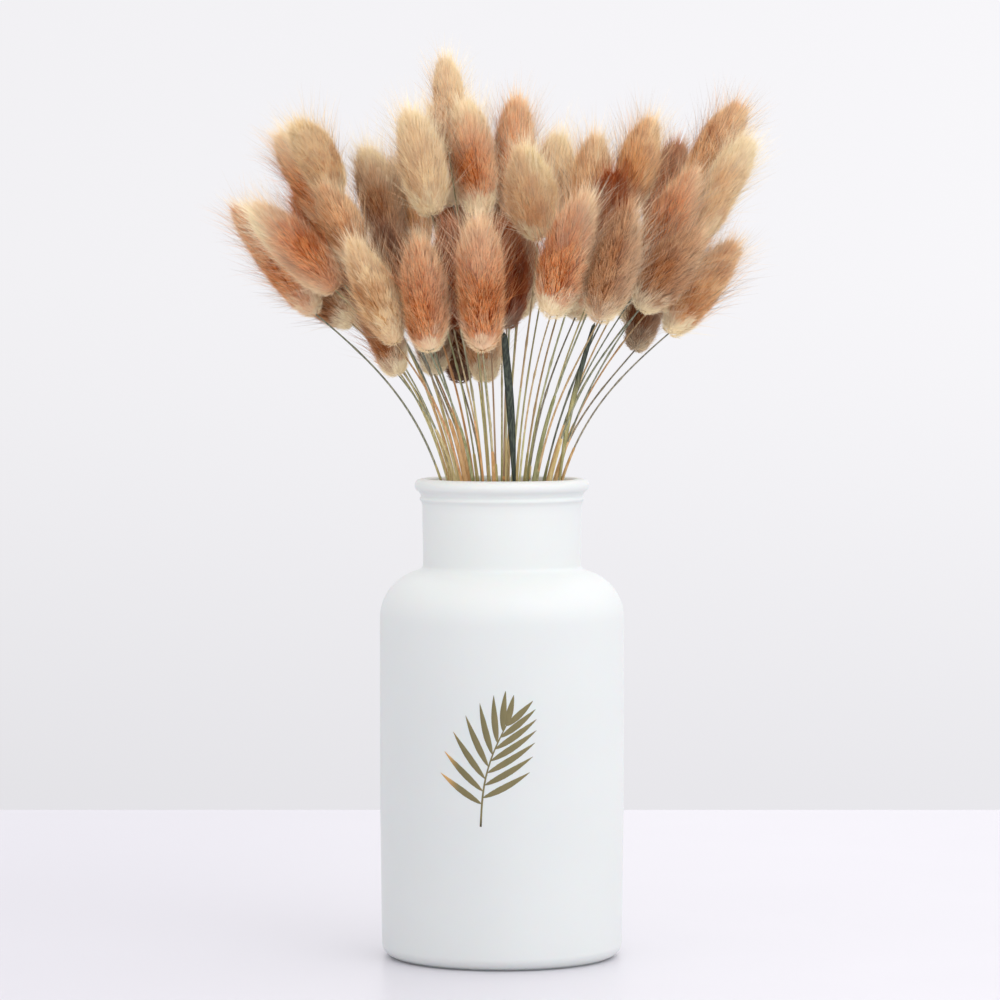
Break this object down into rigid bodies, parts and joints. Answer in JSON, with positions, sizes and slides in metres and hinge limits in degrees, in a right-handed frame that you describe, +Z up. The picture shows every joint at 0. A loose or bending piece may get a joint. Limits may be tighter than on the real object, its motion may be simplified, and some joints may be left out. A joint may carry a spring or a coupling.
{
  "type": "dried bunny tail grass in a vase",
  "caption": "Bunch of dried bunny tail grass with furry seed heads on thin stems, standing in a milky glass bottle vase with a round shoulder.",
  "frame": {"origin": "middle of the vase's flat underside", "axes": "+Z up through the vase, +X to the right and -Y to the front as pictured"},
  "size_m": [0.2223, 0.1681, 0.3767],
  "materials": {
    "milk_glass": "satin",
    "dry_stem": "matte",
    "dry_blade": "matte",
    "gold_print": "satin",
    "fur_orange": "matte",
    "fur_rust": "matte",
    "fur_tan": "matte",
    "fur_cream": "matte",
    "fur_brown": "matte"
  },
  "bodies": {
    "root": {"vase": "milk_glass", "stem_bundle_1": "dry_stem", "stem_bundle_2": "dry_stem", "stem_bundle_3": "dry_stem", "stem_bundle_4": "dry_stem", "stem_bundle_5": "dry_stem", "stem_bundle_6": "dry_stem", "stem_bundle_7": "dry_stem", "stem_bundle_8": "dry_stem", "head_01": "fur_orange", "head_02": "fur_tan", "head_03": "fur_orange", "head_04": "fur_orange", "head_05": "fur_orange", "head_06": "fur_tan", "head_07": "fur_orange", "head_08": "fur_cream", "head_09": "fur_tan", "head_10": "fur_orange", "head_11": "fur_brown", "head_12": "fur_brown", "head_13": "fur_orange", "head_14": "fur_cream", "head_15": "fur_orange", "head_16": "fur_cream", "head_17": "fur_orange", "head_18": "fur_orange", "head_19": "fur_rust", "head_20": "fur_brown", "head_21": "fur_brown", "head_22": "fur_cream", "head_23": "fur_orange", "head_24": "fur_tan", "head_25": "fur_brown", "head_26": "fur_rust", "head_27": "fur_orange", "head_28": "fur_orange", "head_29": "fur_orange", "head_30": "fur_orange", "head_31": "fur_brown", "head_32": "fur_orange", "head_33": "fur_rust", "head_34": "fur_orange", "head_35": "fur_tan", "head_36": "fur_cream", "head_37": "fur_brown", "head_38": "fur_orange", "head_39": "fur_rust", "head_40": "fur_rust", "head_41": "fur_tan", "head_42": "fur_orange", "head_43": "fur_brown", "head_44": "fur_orange", "head_45": "fur_rust", "head_46": "fur_tan", "head_47": "fur_orange", "head_48": "fur_brown", "head_49": "fur_orange"}
  },
  "joints": []
}
